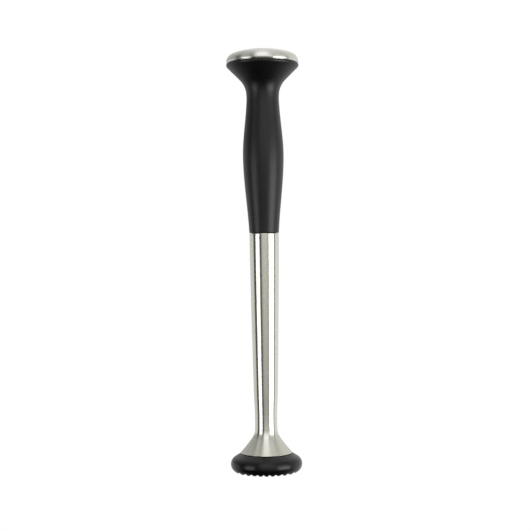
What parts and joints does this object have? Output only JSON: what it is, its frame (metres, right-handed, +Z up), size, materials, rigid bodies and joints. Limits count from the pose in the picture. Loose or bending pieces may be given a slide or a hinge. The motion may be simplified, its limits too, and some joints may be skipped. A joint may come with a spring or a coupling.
{
  "type": "muddler",
  "caption": "Hand muddler with a toothed black head, a flared brushed-steel shaft, a soft black grip and a domed steel cap.",
  "frame": {"origin": "bottom centre, on the plane of the tooth tips that the tool stands on", "axes": "+Z up along the tool's axis, from the toothed head to the domed cap; X and Y along the rows of teeth"},
  "size_m": [0.0392, 0.0392, 0.2291],
  "materials": {
    "head_nylon": "black moulded nylon, low satin sheen",
    "insert_brass": "knurled brass",
    "seal_rubber": "grey silicone",
    "shaft_steel": "brushed round the axis",
    "fastener_steel": "zinc plated",
    "core_plastic": "rigid moulding, unpolished",
    "ring_nylon": "pale blue nylon",
    "grip_rubber": "black soft touch, matte",
    "cap_steel": "satin, brushed round the axis"
  },
  "bodies": {
    "root": {"head": "head_nylon", "head_insert": "insert_brass", "lower_seal": "seal_rubber", "shaft": "shaft_steel", "tie_rod": "fastener_steel", "upper_seal": "seal_rubber", "handle_core": "core_plastic", "rod_washer": "fastener_steel", "rod_nut": "fastener_steel", "nut_lock_ring": "ring_nylon", "grip": "grip_rubber", "cap_carrier": "core_plastic", "top_cap": "cap_steel"}
  },
  "joints": []
}
